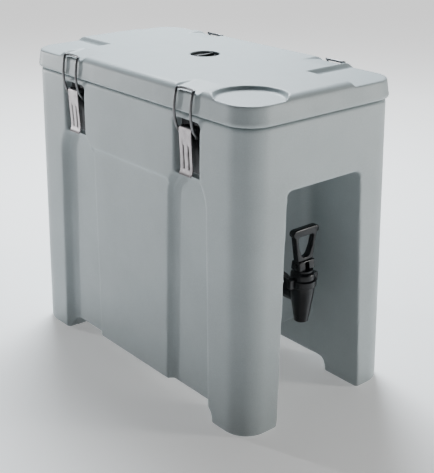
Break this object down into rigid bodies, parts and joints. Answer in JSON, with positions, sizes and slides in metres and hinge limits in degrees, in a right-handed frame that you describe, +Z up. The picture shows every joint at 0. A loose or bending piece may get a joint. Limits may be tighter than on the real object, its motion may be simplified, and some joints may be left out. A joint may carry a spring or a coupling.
{
  "type": "insulated beverage dispenser",
  "caption": "Insulated box-shaped beverage dispenser: foam-filled body and lid, wire draw latches, lid vent and a self-closing faucet in a front bay.",
  "frame": {"origin": "middle of the footprint, on the ground that the feet stand on", "axes": "+Z up; the front, with the faucet, faces -Y and the back faces +Y, the long way; the long sides face -X and +X"},
  "size_m": [0.2368, 0.4248, 0.381],
  "materials": {
    "grey_polyethylene": "satin",
    "polyurethane_foam": "matte",
    "silicone": "matte",
    "black_plastic": "satin",
    "stainless_sheet": "satin",
    "stainless_wire": "polished"
  },
  "bodies": {
    "body": {"body_shell": "grey_polyethylene", "body_foam": "polyurethane_foam", "body_fill_plug": "grey_polyethylene", "outer_washer": "silicone", "inner_washer": "silicone", "faucet_shank": "black_plastic", "shank_nut": "black_plastic", "coupling_nut": "black_plastic", "faucet_body": "black_plastic", "faucet_bonnet": "black_plastic", "latch_plate_left_front": "stainless_sheet", "latch_pin_left_front": "stainless_wire", "latch_screw_left_front_front": "stainless_wire", "latch_screw_left_front_rear": "stainless_wire", "latch_plate_left_rear": "stainless_sheet", "latch_pin_left_rear": "stainless_wire", "latch_screw_left_rear_front": "stainless_wire", "latch_screw_left_rear_rear": "stainless_wire", "latch_plate_right_front": "stainless_sheet", "latch_pin_right_front": "stainless_wire", "latch_screw_right_front_front": "stainless_wire", "latch_screw_right_front_rear": "stainless_wire", "latch_plate_right_rear": "stainless_sheet", "latch_pin_right_rear": "stainless_wire", "latch_screw_right_rear_front": "stainless_wire", "latch_screw_right_rear_rear": "stainless_wire"},
    "lid": {"lid_shell": "grey_polyethylene", "lid_foam": "polyurethane_foam", "lid_fill_plug": "grey_polyethylene", "lid_gasket": "silicone", "vent_bush": "black_plastic"},
    "vent_cap": {"vent_cap": "black_plastic", "vent_o_ring": "silicone"},
    "lever_left_front": {"latch_lever_left_front": "stainless_sheet"},
    "bail_left_front": {"latch_bail_left_front": "stainless_wire"},
    "lever_left_rear": {"latch_lever_left_rear": "stainless_sheet"},
    "bail_left_rear": {"latch_bail_left_rear": "stainless_wire"},
    "lever_right_front": {"latch_lever_right_front": "stainless_sheet"},
    "bail_right_front": {"latch_bail_right_front": "stainless_wire"},
    "lever_right_rear": {"latch_lever_right_rear": "stainless_sheet"},
    "bail_right_rear": {"latch_bail_right_rear": "stainless_wire"},
    "stem": {"valve_stem": "stainless_wire", "seat_cup": "silicone", "handle_pin": "stainless_wire"},
    "handle": {"faucet_handle": "black_plastic"}
  },
  "joints": [
    {"name": "lid_lift", "type": "slide", "parent": "body", "child": "lid", "axis": [0, 0, 1], "range_m": [0, 0.036]},
    {"name": "vent_turn", "type": "hinge", "parent": "lid", "child": "vent_cap", "pos_m": [0.013, 0.011, 0.376], "axis": [0, 0, 1], "range_deg": [0, 90]},
    {"name": "lever_left_front_swing", "type": "hinge", "parent": "body", "child": "lever_left_front", "pos_m": [-0.1092, -0.1095, 0.337], "axis": [0, 1, 0], "range_deg": [0, 110]},
    {"name": "bail_left_front_swing", "type": "hinge", "parent": "lever_left_front", "child": "bail_left_front", "pos_m": [-0.1078, -0.1095, 0.328], "axis": [0, -1, 0], "range_deg": [0, 220]},
    {"name": "lever_left_rear_swing", "type": "hinge", "parent": "body", "child": "lever_left_rear", "pos_m": [-0.1092, 0.1095, 0.337], "axis": [0, 1, 0], "range_deg": [0, 110]},
    {"name": "bail_left_rear_swing", "type": "hinge", "parent": "lever_left_rear", "child": "bail_left_rear", "pos_m": [-0.1078, 0.1095, 0.328], "axis": [0, -1, 0], "range_deg": [0, 220]},
    {"name": "lever_right_front_swing", "type": "hinge", "parent": "body", "child": "lever_right_front", "pos_m": [0.1092, -0.1095, 0.337], "axis": [0, -1, 0], "range_deg": [0, 110]},
    {"name": "bail_right_front_swing", "type": "hinge", "parent": "lever_right_front", "child": "bail_right_front", "pos_m": [0.1078, -0.1095, 0.328], "axis": [0, 1, 0], "range_deg": [0, 220]},
    {"name": "lever_right_rear_swing", "type": "hinge", "parent": "body", "child": "lever_right_rear", "pos_m": [0.1092, 0.1095, 0.337], "axis": [0, -1, 0], "range_deg": [0, 110]},
    {"name": "bail_right_rear_swing", "type": "hinge", "parent": "lever_right_rear", "child": "bail_right_rear", "pos_m": [0.1078, 0.1095, 0.328], "axis": [0, 1, 0], "range_deg": [0, 220]},
    {"name": "stem_lift", "type": "slide", "parent": "body", "child": "stem", "axis": [0, 0, 1], "range_m": [0, 0.005], "stiffness_N_per_m": 400},
    {"name": "handle_tilt", "type": "hinge", "parent": "stem", "child": "handle", "pos_m": [0, -0.1785, 0.1735], "axis": [1, 0, 0], "range_deg": [0, 35]}
  ],
  "couplings": [
    {"joint": "lever_left_front_swing", "follows": "lid_lift", "rad_per_m": 53.3},
    {"joint": "bail_left_front_swing", "follows": "lid_lift", "rad_per_m": 106.6},
    {"joint": "lever_left_rear_swing", "follows": "lid_lift", "rad_per_m": 53.3},
    {"joint": "bail_left_rear_swing", "follows": "lid_lift", "rad_per_m": 106.6},
    {"joint": "lever_right_front_swing", "follows": "lid_lift", "rad_per_m": 53.3},
    {"joint": "bail_right_front_swing", "follows": "lid_lift", "rad_per_m": 106.6},
    {"joint": "lever_right_rear_swing", "follows": "lid_lift", "rad_per_m": 53.3},
    {"joint": "bail_right_rear_swing", "follows": "lid_lift", "rad_per_m": 106.6},
    {"joint": "handle_tilt", "follows": "stem_lift", "rad_per_m": 120}
  ]
}
